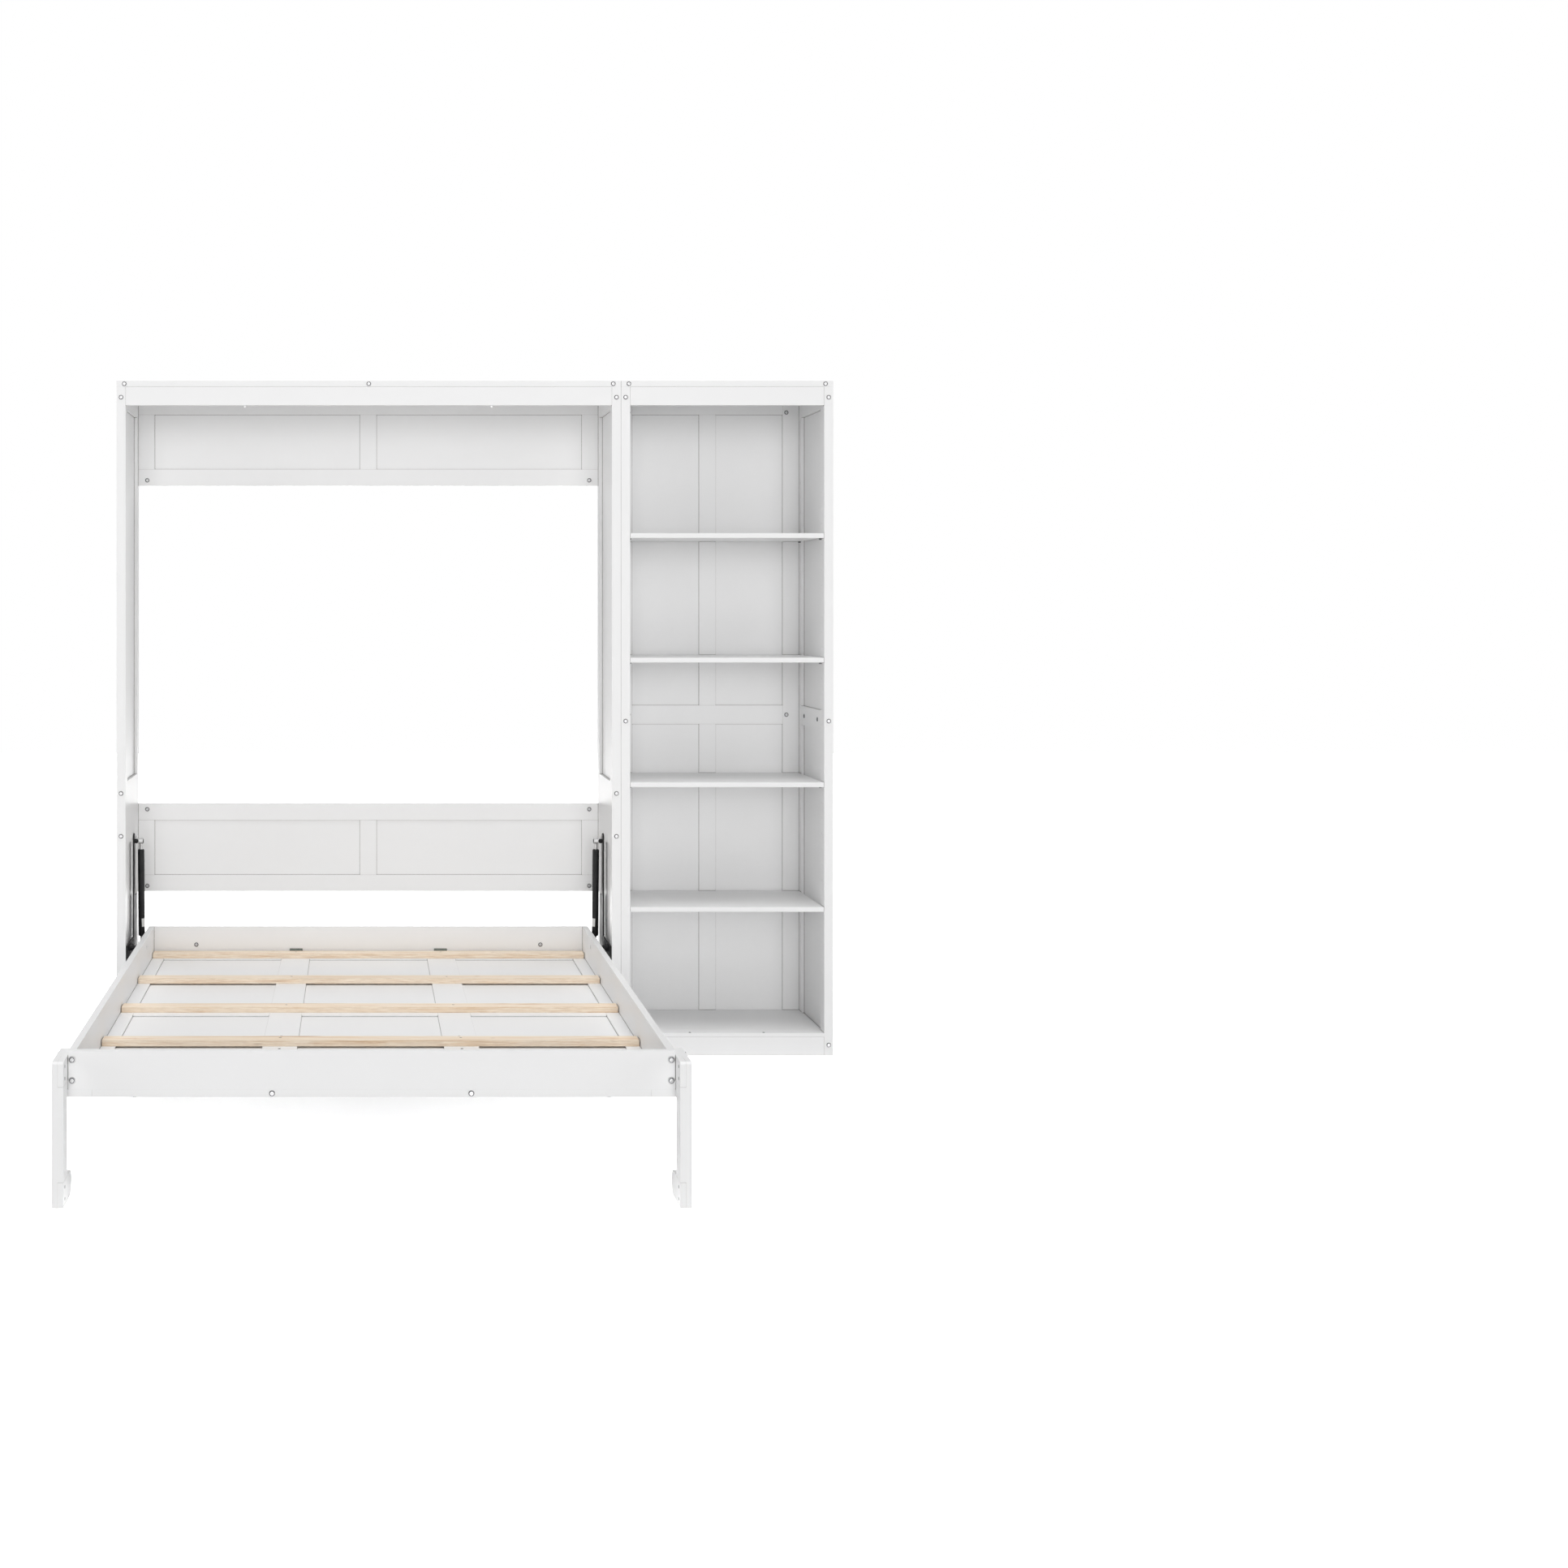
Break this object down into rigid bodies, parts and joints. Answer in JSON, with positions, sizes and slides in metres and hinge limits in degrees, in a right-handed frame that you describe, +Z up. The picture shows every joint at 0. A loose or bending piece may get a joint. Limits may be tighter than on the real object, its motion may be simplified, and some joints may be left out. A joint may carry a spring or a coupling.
{
  "type": "wall bed with shelf tower",
  "caption": "White cabinet wall bed whose slatted box folds down on hinged legs and gas struts, with an open shelf tower beside it.",
  "frame": {"origin": "middle of the bounding box at the floor, with the bed folded down", "axes": "+Z up, +X along the wall towards the shelf tower, +Y towards the wall; the bed folds down towards -Y"},
  "size_m": [2.2306, 2.084, 2.1],
  "materials": {
    "white_paint": "satin white paint on wood",
    "bare_wood": "bare laminated softwood",
    "black_steel": "satin black paint",
    "zinc": "zinc plated",
    "brushed_nickel": "brushed nickel"
  },
  "bodies": {
    "cabinet": {"cabinet_side_frame_left": "white_paint", "cabinet_side_frame_right": "white_paint", "cabinet_side_panels_left": "white_paint", "cabinet_side_panels_right": "white_paint", "cabinet_top_board": "white_paint", "cabinet_fascia": "white_paint", "cabinet_base_rail": "white_paint", "upper_back_frame": "white_paint", "upper_back_panels": "white_paint", "lower_back_frame": "white_paint", "lower_back_panels": "white_paint", "cabinet_bolts": "zinc", "back_panel_bolts": "zinc", "hinge_plate_left": "black_steel", "hinge_plate_right": "black_steel", "hinge_plate_screws": "zinc", "tower_side_frame_left": "white_paint", "tower_side_frame_right": "white_paint", "tower_side_panels_left": "white_paint", "tower_side_panels_right": "white_paint", "tower_top_board": "white_paint", "tower_fascia": "white_paint", "tower_base_rail": "white_paint", "tower_bottom_board": "white_paint", "tower_back_frame": "white_paint", "tower_back_panels": "white_paint", "shelf_1": "white_paint", "shelf_2": "white_paint", "shelf_3": "white_paint", "shelf_4": "white_paint", "shelf_pins": "zinc", "tower_bolts": "zinc"},
    "bed": {"door_frame": "white_paint", "door_panels": "white_paint", "head_rail": "white_paint", "foot_rail": "white_paint", "side_rail_left": "white_paint", "side_rail_right": "white_paint", "slats": "bare_wood", "slat_screws": "zinc", "handle_left": "brushed_nickel", "handle_right": "brushed_nickel", "bed_bolts": "zinc", "head_brackets": "zinc", "bed_bracket_left": "black_steel", "bed_bracket_right": "black_steel", "leg_pivot_bolts": "zinc"},
    "leg_left": {"leg_post_left": "white_paint", "leg_arm_left": "white_paint", "leg_foot_left": "white_paint", "leg_screws_left": "zinc"},
    "strut_left": {"strut_tube_left": "black_steel"},
    "rod_left": {"strut_rod_left": "zinc"},
    "leg_right": {"leg_post_right": "white_paint", "leg_arm_right": "white_paint", "leg_foot_right": "white_paint", "leg_screws_right": "zinc"},
    "strut_right": {"strut_tube_right": "black_steel"},
    "rod_right": {"strut_rod_right": "zinc"}
  },
  "joints": [
    {"name": "bed_fold", "type": "hinge", "parent": "cabinet", "child": "bed", "pos_m": [-0.3303, 0.725, 0.324], "axis": [-1, 0, 0], "range_deg": [0, 90]},
    {"name": "leg_left_fold", "type": "hinge", "parent": "bed", "child": "leg_left", "pos_m": [-1.0623, -0.914, 0.328], "axis": [-1, 0, 0], "range_deg": [0, 207.5]},
    {"name": "strut_left_swing", "type": "hinge", "parent": "cabinet", "child": "strut_left", "pos_m": [-1.0628, 0.874, 0.642], "axis": [-1, 0, 0], "range_deg": [0, 24.49]},
    {"name": "rod_left_slide", "type": "slide", "parent": "strut_left", "child": "rod_left", "axis": [0, 0.0937, -0.9956], "range_m": [0, 0.1865]},
    {"name": "leg_right_fold", "type": "hinge", "parent": "bed", "child": "leg_right", "pos_m": [0.4017, -0.914, 0.328], "axis": [-1, 0, 0], "range_deg": [0, 207.5]},
    {"name": "strut_right_swing", "type": "hinge", "parent": "cabinet", "child": "strut_right", "pos_m": [0.4022, 0.874, 0.642], "axis": [-1, 0, 0], "range_deg": [0, 24.49]},
    {"name": "rod_right_slide", "type": "slide", "parent": "strut_right", "child": "rod_right", "axis": [0, 0.0937, -0.9956], "range_m": [0, 0.1865]}
  ],
  "couplings": [
    {"joint": "leg_left_fold", "follows": "bed_fold", "ratio": 2.3},
    {"joint": "strut_left_swing", "follows": "bed_fold", "ratio": 0.26992},
    {"joint": "rod_left_slide", "follows": "bed_fold", "m_per_rad": 0.1184},
    {"joint": "leg_right_fold", "follows": "bed_fold", "ratio": 2.3},
    {"joint": "strut_right_swing", "follows": "bed_fold", "ratio": 0.26992},
    {"joint": "rod_right_slide", "follows": "bed_fold", "m_per_rad": 0.1184}
  ]
}
